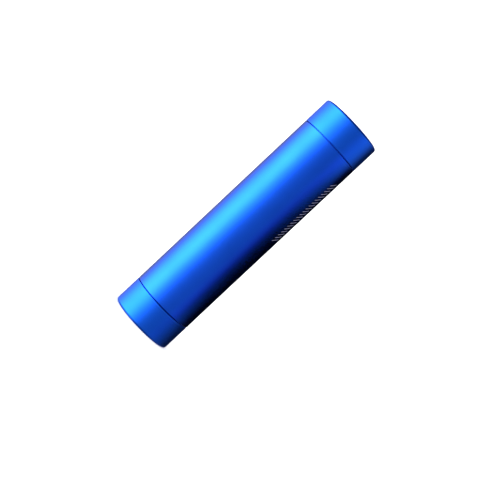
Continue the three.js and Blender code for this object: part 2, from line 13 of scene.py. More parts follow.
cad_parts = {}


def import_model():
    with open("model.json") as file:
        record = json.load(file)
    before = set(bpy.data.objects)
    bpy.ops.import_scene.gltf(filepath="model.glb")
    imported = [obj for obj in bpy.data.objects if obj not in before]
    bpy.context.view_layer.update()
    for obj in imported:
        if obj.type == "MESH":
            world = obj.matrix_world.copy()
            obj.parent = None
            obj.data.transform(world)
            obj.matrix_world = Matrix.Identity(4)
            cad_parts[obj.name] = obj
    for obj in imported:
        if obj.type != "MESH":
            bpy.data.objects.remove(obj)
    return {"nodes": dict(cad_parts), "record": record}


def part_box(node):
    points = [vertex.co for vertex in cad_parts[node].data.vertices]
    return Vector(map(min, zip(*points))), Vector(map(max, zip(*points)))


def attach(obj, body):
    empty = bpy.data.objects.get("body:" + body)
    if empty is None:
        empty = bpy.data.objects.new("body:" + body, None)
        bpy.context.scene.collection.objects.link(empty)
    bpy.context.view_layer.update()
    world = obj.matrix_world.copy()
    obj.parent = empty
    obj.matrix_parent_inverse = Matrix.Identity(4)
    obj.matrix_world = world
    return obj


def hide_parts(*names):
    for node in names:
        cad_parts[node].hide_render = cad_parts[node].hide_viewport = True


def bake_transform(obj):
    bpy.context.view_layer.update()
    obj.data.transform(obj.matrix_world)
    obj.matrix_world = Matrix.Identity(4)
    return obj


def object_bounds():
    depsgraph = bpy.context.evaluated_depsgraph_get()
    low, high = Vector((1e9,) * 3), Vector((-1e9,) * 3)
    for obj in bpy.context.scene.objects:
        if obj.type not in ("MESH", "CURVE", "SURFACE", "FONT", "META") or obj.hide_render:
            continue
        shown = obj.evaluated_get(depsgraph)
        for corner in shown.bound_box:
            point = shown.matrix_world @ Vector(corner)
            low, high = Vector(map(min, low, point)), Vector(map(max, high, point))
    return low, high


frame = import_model()
CAD_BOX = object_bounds()

SLOT_OF = {part["node"]: part["material_slot"] for part in frame["record"]["subparts"]}
BODY_OF = {
    node: body for body, nodes in frame["record"]["behaviour"]["bodies"].items() for node in nodes
}

MM = 0.001
TURN = 2 * math.pi

# ---------------------------------------------------------------- sizes, in millimetres

BODY_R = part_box("body_tube")[1].x / MM
LENGTH = CAD_BOX[1].z / MM
CAP_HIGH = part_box("tail_cap")[1].z / MM  # the tail cap's mouth
COLLAR_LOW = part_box("port_collar")[0].z / MM  # the port collar's mouth
NECK_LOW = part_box("body_tube")[0].z / MM
NECK_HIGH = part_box("body_tube")[1].z / MM
SEAM = 0.2  # gap between each end piece and the tube's shoulder
BORE_R = 9.5
NECK_R = 10.0  # the tube's end inside the tail cap
COLLAR_NECK_R = 10.15  # the tube's end inside the collar
CAP_BORE_R = 10.4
LIP_R = 9.2  # hole in the collar's rim
EDGE_R = 0.8  # rounding of both outer ends
SEAM_EDGE = 0.16  # rounding of the edges along the seams
RIM = 1.8  # thickness of the collar's rim
PITCH = 1.0  # of the thread
THREAD_LOW = 4.3  # height of the thread's first turn
THREAD_TURNS = 3.25
THREAD_STEP = 0.0875  # height between two rings of points along a thread
RIDGE_HEIGHT = 0.3
RIDGE_BASE, RIDGE_CREST = 0.55, 0.2  # width of the thread's ridge at its root and at its top
ROUND = 192  # sides of the large turned pieces
MEDIUM = 96  # sides of the turned pieces inside
FINE = 48  # sides of the small round pieces

# ---------------------------------------------------------------- making meshes


def link(obj):
    bpy.context.scene.collection.objects.link(obj)
    return obj


def new_object(name, vertices, faces):
    """A smooth-shaded object from vertices in millimetres."""
    mesh = bpy.data.meshes.new(name)
    mesh.from_pydata([Vector(v) * MM for v in vertices], [], faces)
    mesh.validate()
    mesh.update()
    mesh.shade_smooth()
    return link(bpy.data.objects.new(name, mesh))


def crisp(obj, angle):
    """Flat faces shade flat and rounded edges shade round; edges over the angle stay sharp."""
    obj.data.set_sharp_from_angle(angle=math.radians(angle))
    weighted = obj.modifiers.new("weighted", "WEIGHTED_NORMAL")
    weighted.keep_sharp = True


def paint(obj, slot, material=None):
    """Gives obj the slot's own material, unless another one is named."""
    obj.data.materials.clear()
    obj.data.materials.append(MATERIALS[material or slot])


def stand_for(obj, node, material=None, sharp=30):
    """obj takes the place and the body of a CAD node, and its slot's material unless another is
    named. Nothing is sharp if it's None.
    """
    if sharp:
        crisp(obj, sharp)
    paint(obj, SLOT_OF[node], material)
    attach(obj, BODY_OF[node])
    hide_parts(node)


def add_to_tube(obj, slot, material=None):
    """obj is a piece that the CAD model leaves out, and moves with the tube."""
    crisp(obj, 30)
    paint(obj, slot, material)
    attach(obj, "tube")


def rounded(corners, closed, steps=5):
    """A profile of (r, z, rounding) corners as points, each corner turned into an arc."""
    points = []
    count = len(corners)
    for i, (r, z, fillet) in enumerate(corners):
        here = Vector((r, z))
        if not fillet or (not closed and i in (0, count - 1)):
            points.append(here)
            continue
        before = (Vector(corners[i - 1][:2]) - here).normalized()
        after = (Vector(corners[(i + 1) % count][:2]) - here).normalized()
        half = before.angle(after) / 2
        reach = fillet / math.tan(half)
        centre = here + (before + after).normalized() * (fillet / math.sin(half))
        start, end = here + before * reach - centre, here + after * reach - centre
        sweep = start.angle_signed(end)
        for k in range(steps + 1):
            arm = start.copy()
            arm.rotate(Matrix.Rotation(-sweep * k / steps, 2))
            points.append(centre + arm)
    return points


def turned(name, points, closed, sides=ROUND, relief=None):
    """A solid of revolution about Z. relief(z, angle) is added to the radius of marked points."""
    vertices, rows = [], []
    for point in points:
        r, z = point[0], point[1]
        if r < 1e-9:
            rows.append([len(vertices)] * sides)
            vertices.append((0, 0, z))
            continue
        rows.append(list(range(len(vertices), len(vertices) + sides)))
        for k in range(sides):
            angle = TURN * k / sides
            reach = r + (relief(z, angle) if relief and len(point) > 2 else 0)
            vertices.append((reach * math.cos(angle), reach * math.sin(angle), z))
    faces = []
    pairs = list(zip(rows, rows[1:])) + ([(rows[-1], rows[0])] if closed else [])
    for low, high in pairs:
        for k in range(sides):
            n = (k + 1) % sides
            face = list(dict.fromkeys((low[k], low[n], high[n], high[k])))
            if len(face) > 2:
                faces.append(face)
    obj = new_object(name, vertices, faces)
    tidy_normals(obj)
    return obj


def pulled(name, loops, low, high, edge=0.0):
    """An outline, and holes in it, pulled up from one height to another with rounded rims."""
    curve = bpy.data.curves.new(name, "CURVE")
    curve.dimensions, curve.fill_mode = "2D", "BOTH"
    curve.bevel_depth, curve.offset = edge * MM, -edge * MM
    curve.bevel_resolution = 2
    curve.extrude = ((high - low) / 2 - edge) * MM
    for loop in loops:
        spline = curve.splines.new("POLY")
        spline.points.add(len(loop) - 1)
        spline.use_cyclic_u = True
        for point, (x, y) in zip(spline.points, loop):
            point.co = (x * MM, y * MM, 0, 1)
    obj = mesh_of(curve)
    obj.data.transform(Matrix.Translation((0, 0, (low + high) / 2 * MM)))
    return obj


def mesh_of(curve):
    """A mesh object, named like the curve that it takes the place of."""
    name = curve.name
    holder = link(bpy.data.objects.new(name, curve))
    graph = bpy.context.evaluated_depsgraph_get()
    mesh = bpy.data.meshes.new_from_object(holder.evaluated_get(graph))
    bpy.data.objects.remove(holder)
    bpy.data.curves.remove(curve)
    mesh.name = name
    obj = link(bpy.data.objects.new(name, mesh))
    tidy_normals(obj)
    mesh.shade_smooth()
    return obj


def rectangle(x, y, width, height, fillet):
    """A rounded rectangle's outline about (x, y)."""
    corners = [(-1, -1), (1, -1), (1, 1), (-1, 1)]
    outline = [(x + i * width / 2, y + j * height / 2, fillet) for i, j in corners]
    return rounded(outline, closed=True)


def circle(x, y, r, sides):
    angles = [TURN * k / sides for k in range(sides)]
    return [(x + r * math.cos(a), y + r * math.sin(a)) for a in angles]


def combine(obj, others, operation):
    """Joins the others to obj or cuts them out of it, and removes them."""
    for other in others:
        step = obj.modifiers.new("combine", "BOOLEAN")
        step.operation, step.object, step.solver = operation, other, "EXACT"
    apply_modifiers(obj)
    for other in others:
        bpy.data.objects.remove(other)
    return obj


def carve(obj, cutters):
    return combine(obj, cutters, "DIFFERENCE")


def apply_modifiers(obj):
    graph = bpy.context.evaluated_depsgraph_get()
    mesh = bpy.data.meshes.new_from_object(obj.evaluated_get(graph))
    obj.modifiers.clear()
    obj.data = mesh


def bevelled(obj, width, angle=40, segments=3):
    bevel = obj.modifiers.new("bevel", "BEVEL")
    bevel.width = width * MM
    bevel.segments = segments
    bevel.limit_method = "ANGLE"
    bevel.angle_limit = math.radians(angle)
    return obj


def tidy_normals(obj):
    bm = bmesh.new()
    bm.from_mesh(obj.data)
    bmesh.ops.remove_doubles(bm, verts=bm.verts, dist=1e-7)
    bmesh.ops.recalc_face_normals(bm, faces=bm.faces)
    bm.to_mesh(obj.data)
    bm.free()


def place_turned(obj, centre, lying=False):
    """Moves a turned piece's axis, or lays it along -Y, as profile_of describes."""
    if lying:
        obj.data.transform(Matrix.Rotation(math.pi / 2, 4, "X"))
        obj.data.transform(Matrix.Translation((centre[0] * MM, 0, centre[1] * MM)))
    else:
        obj.data.transform(Matrix.Translation((centre[0] * MM, centre[1] * MM, 0)))


def block(name, low, high, edge):
    """A block between two corners, in millimetres, with rounded edges."""
    bm = bmesh.new()
    bmesh.ops.create_cube(bm, size=1)
    for vertex in bm.verts:
        share = vertex.co + Vector((0.5, 0.5, 0.5))
        vertex.co = [MM * (a + (b - a) * t) for a, b, t in zip(low, high, share)]
    bmesh.ops.bevel(
        bm, geom=bm.edges[:], offset=edge * MM, segments=3, profile=0.5, affect="EDGES"
    )
    mesh = bpy.data.meshes.new(name)
    bm.to_mesh(mesh)
    bm.free()
    mesh.shade_smooth()
    return link(bpy.data.objects.new(name, mesh))


def bar_faces(start, count):
    """Faces of a bar with count four-cornered sections, which begin at vertex start."""
    faces = []
    for k in range(count - 1):
        for j in range(4):
            a, b = start + 4 * k + j, start + 4 * k + (j + 1) % 4
            faces.append((a, b, b + 4, a + 4))
    end = start + 4 * (count - 1)
    return [*faces, (start + 3, start + 2, start + 1, start), (end, end + 1, end + 2, end + 3)]


def thread(direction, low):
    """Radial height of a right-hand ridge, that fades in and out, at a height and an angle."""
    fade = 6  # the ridge grows to its full height within a sixth of a turn
    flank = (RIDGE_BASE - RIDGE_CREST) / 2

    def relief(z, angle):
        turns = angle / TURN
        travelled = turns + round((z - low) / PITCH - turns)
        share = min(1.0, travelled * fade, (THREAD_TURNS - travelled) * fade)
        offset = abs(z - low - PITCH * travelled)
        height = 1 - (offset - RIDGE_CREST / 2) / flank
        return direction * RIDGE_HEIGHT * max(0.0, min(1.0, height)) * max(0.0, share)

    return relief


def threaded_stretch(r, low, high):
    """Profile points that carry the thread's relief, from one height to another."""
    count = round(abs(high - low) / THREAD_STEP)
    return [(r, low + (high - low) * k / count, True) for k in range(count + 1)]


# ---------------------------------------------------------------- material kit

BLUE = (0.011, 0.110, 0.88)
BLUE_ENDS = (0.011, 0.128, 0.9)
BARE_METAL = (0.50, 0.51, 0.53)


def new_material(name):
    material = bpy.data.materials.new(name)
    material.use_nodes = True
    nodes, links = material.node_tree.nodes, material.node_tree.links
    return material, nodes, links, nodes["Principled BSDF"]


def ramp(nodes, links, source, stops):
    node = nodes.new("ShaderNodeValToRGB")
    while len(node.color_ramp.elements) < len(stops):
        node.color_ramp.elements.new(0.5)
    for element, (position, value) in zip(node.color_ramp.elements, stops):
        element.position = position
        element.color = (*value, 1) if isinstance(value, tuple) else (value, value, value, 1)
    links.new(source, node.inputs["Fac"])
    return node.outputs["Color"]


def object_noise(nodes, links, scale, detail, stretch=(1, 1, 1)):
    """Noise fixed to the object, scale in cycles per metre."""
    where = nodes.new("ShaderNodeTexCoord")
    place = nodes.new("ShaderNodeMapping")
    place.inputs["Scale"].default_value = stretch
    noise = nodes.new("ShaderNodeTexNoise")
    noise.inputs["Scale"].default_value = scale
    noise.inputs["Detail"].default_value = detail
    links.new(where.outputs["Object"], place.inputs["Vector"])
    links.new(place.outputs["Vector"], noise.inputs["Vector"])
    return noise.outputs["Fac"]


def bump(nodes, links, height, strength, distance):
    node = nodes.new("ShaderNodeBump")
    node.inputs["Strength"].default_value = strength
    node.inputs["Distance"].default_value = distance
    links.new(height, node.inputs["Height"])
    return node


def math_node(nodes, links, operation, first, second):
    """A math node's result; each operand is a socket or a number."""
    node = nodes.new("ShaderNodeMath")
    node.operation = operation
    for socket, value in zip(node.inputs, (first, second)):
        if isinstance(value, (int, float)):
            socket.default_value = value
        else:
            links.new(value, socket)
    return node.outputs[0]


def bare_mask(nodes, links, low, high, reach):
    """1 where the surface lies between two heights and nearer to the axis than reach, in mm."""
    where = nodes.new("ShaderNodeTexCoord")
    split = nodes.new("ShaderNodeSeparateXYZ")
    links.new(where.outputs["Object"], split.inputs["Vector"])
    x, y, z = split.outputs
    radius = nodes.new("ShaderNodeVectorMath")
    radius.operation = "LENGTH"
    flat = nodes.new("ShaderNodeCombineXYZ")
    links.new(x, flat.inputs["X"])
    links.new(y, flat.inputs["Y"])
    links.new(flat.outputs["Vector"], radius.inputs[0])
    above = math_node(nodes, links, "GREATER_THAN", z, low * MM)
    below = math_node(nodes, links, "LESS_THAN", z, high * MM)
    inside = math_node(nodes, links, "LESS_THAN", radius.outputs["Value"], reach * MM)
    stretch = math_node(nodes, links, "MULTIPLY", above, below)
    return math_node(nodes, links, "MULTIPLY", stretch, inside)


def anodised(name, color, roughness=0.29, bare=None):
    """Bead-blasted, dyed aluminium: fine grain, faint clouding and a few specks of dust.

    bare is the (low, high, reach) of a machined stretch that is left undyed, as in bare_mask.
    """
    cloud_scale, dust_scale, grain_scale = 90, 130, 9000  # cycles per metre
    material, nodes, links, shader = new_material(name)
    shader.inputs["Metallic"].default_value = 1.0
    clouds = object_noise(nodes, links, cloud_scale, 4)
    deeper = tuple(c * 0.9 for c in color)
    tint = ramp(nodes, links, clouds, [(0.3, color), (0.7, deeper)])
    where = nodes.new("ShaderNodeTexCoord")
    cells = nodes.new("ShaderNodeTexVoronoi")
    cells.inputs["Scale"].default_value = dust_scale
    links.new(where.outputs["Object"], cells.inputs["Vector"])
    speck_r = 0.02  # of a cell's width
    specks = ramp(nodes, links, cells.outputs["Distance"], [(speck_r * 0.7, 1.0), (speck_r, 0.0)])
    dusty = nodes.new("ShaderNodeMix")
    dusty.data_type = "RGBA"
    dusty.inputs["B"].default_value = (*[c * 0.3 for c in color], 1)
    links.new(specks, dusty.inputs["Factor"])
    links.new(tint, dusty.inputs["A"])
    finish = dusty.outputs["Result"]
    if bare:
        machined = nodes.new("ShaderNodeMix")
        machined.data_type = "RGBA"
        machined.inputs["B"].default_value = (*BARE_METAL, 1)
        links.new(bare_mask(nodes, links, *bare), machined.inputs["Factor"])
        links.new(finish, machined.inputs["A"])
        finish = machined.outputs["Result"]
    links.new(finish, shader.inputs["Base Color"])
    rough = nodes.new("ShaderNodeMapRange")
    rough.inputs["To Min"].default_value = roughness - 0.04
    rough.inputs["To Max"].default_value = roughness + 0.04
    links.new(clouds, rough.inputs["Value"])
    links.new(rough.outputs["Result"], shader.inputs["Roughness"])
    grains = bump(nodes, links, object_noise(nodes, links, grain_scale, 2), 0.25, 0.01 * MM)
    links.new(grains.outputs["Normal"], shader.inputs["Normal"])
    return material


def simple(name, color, roughness, metallic=0.0, grain=1500, depth=0.15, vary=0.12):
    """Colour and roughness that vary a little, with a fine surface texture."""
    material, nodes, links, shader = new_material(name)
    shader.inputs["Metallic"].default_value = metallic
    noise = object_noise(nodes, links, grain, 3)
    darker, lighter = [tuple(min(1.0, c * share) for c in color) for share in (1 - vary, 1 + vary)]
    tint = ramp(nodes, links, noise, [(0.3, darker), (0.7, lighter)])
    links.new(tint, shader.inputs["Base Color"])
    rough = nodes.new("ShaderNodeMapRange")
    rough.inputs["To Min"].default_value = max(0.02, roughness - 0.06)
    rough.inputs["To Max"].default_value = min(1.0, roughness + 0.06)
    links.new(noise, rough.inputs["Value"])
    links.new(rough.outputs["Result"], shader.inputs["Roughness"])
    skin = bump(nodes, links, noise, depth, 0.03 * MM)
    links.new(skin.outputs["Normal"], shader.inputs["Normal"])
    return material


def brushed(name, color, roughness):
    """Rolled sheet metal: fine streaks along the axis, in its gloss and its surface."""
    material, nodes, links, shader = new_material(name)
    shader.inputs["Metallic"].default_value = 1.0
    streak_scale, stain_scale = 6000, 300  # cycles per metre
    streaks = object_noise(nodes, links, streak_scale, 2, stretch=(1, 1, 0.04))
    stains = object_noise(nodes, links, stain_scale, 3)
    darker, lighter = tuple(c * 0.88 for c in color), tuple(min(1.0, c * 1.05) for c in color)
    tint = ramp(nodes, links, stains, [(0.35, darker), (0.65, lighter)])
    links.new(tint, shader.inputs["Base Color"])
    rough = nodes.new("ShaderNodeMapRange")
    rough.inputs["To Min"].default_value = roughness - 0.08
    rough.inputs["To Max"].default_value = roughness + 0.08
    links.new(streaks, rough.inputs["Value"])
    links.new(rough.outputs["Result"], shader.inputs["Roughness"])
    skin = bump(nodes, links, streaks, 0.2, 0.004 * MM)
    links.new(skin.outputs["Normal"], shader.inputs["Normal"])
    return material


NECK_BARE = (0, CAP_HIGH - 0.4, BODY_R - 0.3)  # the tube's threaded neck
CAP_BARE = (1, CAP_HIGH - 0.4, CAP_BORE_R + 0.03)  # the inside of the tail cap
MATERIALS = {
    "anodised_blue": anodised("blue_anodised_aluminium", BLUE, roughness=0.25, bare=NECK_BARE),
    "anodised_cap": anodised("blue_anodised_cap", BLUE_ENDS, roughness=0.38, bare=CAP_BARE),
    "anodised_collar": anodised("blue_anodised_collar", BLUE_ENDS, roughness=0.38),
    "anodised_silver": anodised("clear_anodised_aluminium", (0.80, 0.81, 0.83)),
    "print": simple("silver_print", (0.20, 0.20, 0.31), 0.5, 0.3, grain=6000),
    "black_plastic": simple("black_moulding", (0.012, 0.012, 0.014), 0.5, grain=4000, depth=0.4),
    "white_plastic": simple("white_moulding", (0.62, 0.62, 0.59), 0.45, depth=0.05, vary=0.03),
    "clear_plastic": simple("clear_moulding", (0.50, 0.58, 0.62), 0.15, depth=0.02, vary=0.03),
    "rubber": simple("black_rubber", (0.012, 0.012, 0.012), 0.7),
    "foam": simple("black_foam", (0.02, 0.02, 0.02), 0.95, depth=0.8),
    "steel": brushed("brushed_steel", (0.60, 0.60, 0.61), 0.3),
    "nickel": brushed("nickel_plate", (0.68, 0.65, 0.59), 0.24),
    "gold": simple("gold_plate", (0.95, 0.68, 0.28), 0.22, 1.0),
    "copper": simple("enamelled_copper", (0.78, 0.34, 0.16), 0.25, 1.0),
    "board": simple("green_solder_mask", (0.01, 0.12, 0.04), 0.35),
    "ferrite": simple("ferrite", (0.03, 0.03, 0.033), 0.8, depth=0.6),
    "ceramic": simple("ceramic", (0.42, 0.28, 0.14), 0.4),
    "sleeve": simple(
        "green_shrink_sleeve", (0.012, 0.17, 0.13), 0.28, grain=500, depth=0.06, vary=0.04
    ),
    "paper": simple("insulating_card", (0.75, 0.7, 0.55), 0.9),
    "electrode": simple("wound_foil", (0.06, 0.045, 0.04), 0.6, 0.3),
}
for node, obj in frame["nodes"].items():
    obj.data.materials.clear()
    obj.data.materials.append(MATERIALS[SLOT_OF[node]])

# ---------------------------------------------------------------- tube and end pieces


def body_tube():
    groove = {"r": 9.8, "low": 8.3, "high": 9.1}  # holds the seal
    thread_low, thread_high = NECK_LOW + 0.45, 8.0
    shoulder, top = CAP_HIGH + SEAM, COLLAR_LOW - SEAM
    neck = rounded(
        [
            (BORE_R, NECK_LOW, 0.12),
            (NECK_R, NECK_LOW, 0.12),
            (NECK_R, NECK_LOW + 0.4, 0),
        ],
        closed=False,
    )[1:]
    bore_edge = [(BORE_R, NECK_LOW + 0.15)]
    outside = rounded(
        [
            (NECK_R, thread_high + 0.1, 0),
            (NECK_R, groove["low"], 0.05),
            (groove["r"], groove["low"], 0.05),
            (groove["r"], groove["high"], 0.05),
            (NECK_R, groove["high"], 0.05),
            (NECK_R, shoulder, 0.05),
            (BODY_R, shoulder, SEAM_EDGE),
            (BODY_R, top, SEAM_EDGE),
            (COLLAR_NECK_R, top, 0.05),
            (COLLAR_NECK_R, NECK_HIGH, 0.15),
            (BORE_R, NECK_HIGH, 0.1),
            (BORE_R, NECK_HIGH - 1, 0),
        ],
        closed=False,
    )
    points = [*bore_edge, *neck, *threaded_stretch(NECK_R, thread_low, thread_high), *outside]
    return turned("tube_shell", points, closed=True, relief=thread(1, THREAD_LOW))


def tail_cap():
    floor_high, bay_r, bay_high = 1.8, 9.0, NECK_LOW - 0.2
    thread_high, margin = 8.6, 0.1
    dish = {"r": 7.2, "depth": 0.25}
    low = rounded(
        [
            (0, dish["depth"], 0),
            (dish["r"] - 0.12, dish["depth"], 0.08),
            (dish["r"], 0, 0.08),
            (BODY_R, 0, EDGE_R),
            (BODY_R, CAP_HIGH, SEAM_EDGE),
            (CAP_BORE_R, CAP_HIGH, 0.1),
            (CAP_BORE_R, thread_high + margin, 0),
        ],
        closed=False,
        steps=8,
    )
    inside = rounded(
        [
            (CAP_BORE_R, THREAD_LOW - margin, 0),
            (CAP_BORE_R, bay_high, 0.05),
            (bay_r, bay_high, 0.1),
            (bay_r, floor_high, 0.3),
            (0, floor_high, 0),
        ],
        closed=False,
    )
    points = [*low, *threaded_stretch(CAP_BORE_R, thread_high, THREAD_LOW), *inside]
    return turned("tail_cap_shell", points, closed=False, relief=thread(-1, THREAD_LOW + PITCH / 2))


def port_collar():
    seat_r, seat_high = 10.0, LENGTH - RIM
    seat_low = NECK_HIGH + 0.05
    bore_r = COLLAR_NECK_R + 0.08
    points = rounded(
        [
            (bore_r, COLLAR_LOW, 0.08),
            (BODY_R, COLLAR_LOW, SEAM_EDGE),
            (BODY_R, LENGTH, EDGE_R),
            (LIP_R, LENGTH, 0.15),
            (LIP_R, seat_high, 0.05),
            (seat_r, seat_high, 0.05),
            (seat_r, seat_low, 0.03),
            (bore_r, seat_low, 0.03),
        ],
        closed=True,
        steps=8,
    )
    return turned("port_collar_shell", points, closed=True)


stand_for(body_tube(), "body_tube", sharp=50)
stand_for(tail_cap(), "tail_cap", "anodised_cap", sharp=50)
stand_for(port_collar(), "port_collar", "anodised_collar", sharp=50)

# ---------------------------------------------------------------- port end

FACE_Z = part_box("port_face")[1].z / MM
MOUTH_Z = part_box("usb_a_shell")[1].z / MM
USB_A = {"x": 0, "y": 1.65, "width": 13.1, "height": 5.8, "wall": 0.3}
MICRO = {"x": 0, "y": -3.65, "width": 7.5, "height": 2.6, "wall": 0.3, "cut": 0.95}
BUTTON = {"x": -6.1, "y": -3.6, "r": 1.45}
LIGHT = {"x": 6.0, "y": -3.4, "r": 0.85}
FIT = 0.15  # gap around a socket in the port face
LOOSE = 0.1  # gap around the button and the light pipe


def micro_outline(grow, fillet):
    half = MICRO["width"] / 2 + grow
    low = MICRO["y"] - MICRO["height"] / 2 - grow
    high = MICRO["y"] + MICRO["height"] / 2 + grow
    cut = MICRO["cut"]
    corners = [(half - cut, low), (half, low + cut), (half, high)]
    corners += [(-half, high), (-half, low + cut), (-half + cut, low)]
    return rounded([(MICRO["x"] + x, y, fillet) for x, y in corners], closed=True)


def usb_outline(grow, fillet):
    width, height = USB_A["width"] + 2 * grow, USB_A["height"] + 2 * grow
    return rectangle(USB_A["x"], USB_A["y"], width, height, fillet)


def port_face():
    low, flange_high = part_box("port_face")[0].z / MM, LENGTH - RIM - 0.05
    flange_r, boss_r = 9.95, LIP_R - 0.05
    points = rounded(
        [
            (0, low, 0),
            (flange_r, low, 0.05),
            (flange_r, flange_high, 0.05),
            (boss_r, flange_high, 0.03),
            (boss_r, FACE_Z, 0.2),
            (0, FACE_Z, 0),
        ],
        closed=False,
    )
    holes = [
        usb_outline(FIT, 0.7),
        micro_outline(FIT, 0.3),
        circle(BUTTON["x"], BUTTON["y"], BUTTON["r"] + LOOSE, FINE),
        circle(LIGHT["x"], LIGHT["y"], LIGHT["r"] + LOOSE, FINE),
    ]
    cutters = [pulled("cutter", [hole], low - 1, FACE_Z + 1) for hole in holes]
    obj = carve(turned("port_face_moulding", points, closed=False), cutters)
    return bevelled(obj, 0.12, angle=60)


def usb_shell():
    low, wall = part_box("usb_a_shell")[0].z / MM, USB_A["wall"]
    outlines = [usb_outline(0, 0.6), usb_outline(-wall, 0.35)]
    return pulled("usb_a_can", outlines, low, MOUTH_Z, 0.1)


def micro_shell():
    low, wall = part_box("micro_usb_shell")[0].z / MM, MICRO["wall"]
    outlines = [micro_outline(0, 0.35), micro_outline(-wall, 0.2)]
    return pulled("micro_usb_can", outlines, low, MOUTH_Z, 0.1)


def spring_leaf(name, x):
    """A bowed strip on the inside of the large socket's wall, towards the small socket."""
    wall_y = USB_A["y"] - USB_A["height"] / 2 + USB_A["wall"]
    half, long, bow, thickness, sunk, steps = 0.75, 5.2, 0.5, 0.15, 0.05, 16
    top = MOUTH_Z - 1.6
    vertices = []
    for k in range(steps + 1):
        t = k / steps
        rise = bow * math.sin(math.pi * t) ** 1.5
        taper = half * (1 - 0.25 * t)
        z = top - long * t
        for side, depth in ((-1, 0), (1, 0), (1, thickness), (-1, thickness)):
            y = wall_y + rise + depth - sunk
            vertices.append((x + side * taper, y, z))
    obj = new_object(name, vertices, bar_faces(0, steps + 1))
    tidy_normals(obj)
    return obj


def push_button():
    """A flanged button with a shallow dish in its top."""
    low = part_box("power_button")[0].z / MM
    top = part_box("power_button")[1].z / MM
    r, flange_r, flange_high = BUTTON["r"], 1.8, low + 0.45
    rim_r, dish_r, dish_deep = r - 0.45, r - 0.75, 0.12
    points = rounded(
        [
            (0, low, 0),
            (flange_r, low, 0.08),
            (flange_r, flange_high, 0.08),
            (r, flange_high, 0.05),
            (r, top, 0.22),
            (rim_r, top, 0.1),
            (dish_r, top - dish_deep, 0.3),
            (0, top - dish_deep - 0.04, 0),
        ],
        closed=False,
    )
    obj = turned("button_cap", points, closed=False, sides=FINE)
    place_turned(obj, (BUTTON["x"], BUTTON["y"]))
    return obj


def light_pipe():
    """A clear rod with a domed end."""
    low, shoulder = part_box("light_pipe")[0].z / MM, 88.2
    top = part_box("light_pipe")[1].z / MM
    r, flange_r, dome_high = LIGHT["r"], 1.3, 0.35
    dome = [
        (r * math.cos(a), top + dome_high * (math.sin(a) - 1)) for a in (0.3, 0.6, 0.9, 1.2)
    ]
    base = rounded(
        [
            (0, low, 0),
            (flange_r, low, 0.08),
            (flange_r, shoulder, 0.08),
            (r, shoulder, 0.05),
            (r, top - dome_high, 0),
        ],
        closed=False,
    )
    obj = turned("light_rod", [*base, *dome, (0, top)], closed=False, sides=FINE)
    place_turned(obj, (LIGHT["x"], LIGHT["y"]))
    return obj


stand_for(port_face(), "port_face")
stand_for(usb_shell(), "usb_a_shell")
stand_for(micro_shell(), "micro_usb_shell")
for number, x in ((1, -3.2), (2, 3.2)):
    add_to_tube(spring_leaf(f"usb_a_leaf_{number}", x), "steel")
stand_for(push_button(), "power_button")
stand_for(light_pipe(), "light_pipe")

# ---------------------------------------------------------------- seal and flank marks


def seal_ring():
    low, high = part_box("neck_o_ring")
    section = (high.z - low.z) / 2 / MM
    middle_r, middle_z = high.x / MM - section, (high.z + low.z) / 2 / MM
    return turned("seal_ring", circle(middle_r, middle_z, section, sides=16), closed=True)


MARK_COUNT = 20
MARK_LOW, MARK_PITCH = 48.7, 1.31  # the row of marks along the tube, in millimetres
MARK_SIDE = 64  # degrees round from the front towards +X
MARK_HALF = (1.4, 0.13)  # half a mark's length round the tube, and half its width
MARK_SLANT = 0.6  # rise for each millimetre round the tube


def flank_mark(index):
    """A thin slanted bar with round ends, printed on the tube."""
    half_long, half_wide = MARK_HALF
    straight = half_long - half_wide
    low_r, high_r = BODY_R - 0.03, BODY_R + 0.015
    turn = [math.radians(a) for a in (-89, -60, -30, 0)]
    stations = [(-straight + half_wide * math.sin(a), half_wide * math.cos(a)) for a in turn]
    stations += [(straight * (k / 4 - 1), half_wide) for k in range(1, 8)]
    stations += [(straight - half_wide * math.sin(a), half_wide * math.cos(a)) for a in turn[::-1]]
    middle_z = MARK_LOW + MARK_PITCH * (index + 0.5)
    vertices = []
    for s, wide in stations:
        angle = math.radians(MARK_SIDE - 90) + s / BODY_R
        for side, r in ((-1, low_r), (1, low_r), (1, high_r), (-1, high_r)):
            z = middle_z + MARK_SLANT * s + side * wide
            vertices.append((r * math.cos(angle), r * math.sin(angle), z))
    obj = new_object(f"flank_mark_{index + 1}", vertices, bar_faces(0, len(stations)))
    tidy_normals(obj)
    return obj


stand_for(seal_ring(), "neck_o_ring", sharp=None)
for index in range(MARK_COUNT):
    add_to_tube(flank_mark(index), "anodised_silver", "print")

# ---------------------------------------------------------------- turned pieces of the inside


def profile_of(node, centre, lying):
    """Corners of a turned node's outline, from one end to the other or all the way round.

    The axis goes up through centre (x, y) or, on a lying node, towards -Y through centre (x, z).
    """
    corner_of = []
    for vertex in frame["nodes"][node].data.vertices:
        x, y, z = vertex.co / MM
        across, off, along = (x, z, -y) if lying else (x, y, z)
        across, off = across - centre[0], off - centre[1]
        in_plane = abs(off) < 0.001 and across > -0.001
        corner_of.append((round(across, 3), round(along, 3)) if in_plane else None)
    joins = {}
    for edge in frame["nodes"][node].data.edges:
        a, b = (corner_of[index] for index in edge.vertices)
        if a and b and a != b:
            joins.setdefault(a, set()).add(b)
            joins.setdefault(b, set()).add(a)
    ends = [corner for corner, others in joins.items() if len(others) == 1]
    chain = [min(ends or joins)]
    while True:
        onward = [corner for corner in joins[chain[-1]] if corner not in chain]
        if not onward:
            return chain, not ends
        chain.append(min(onward))


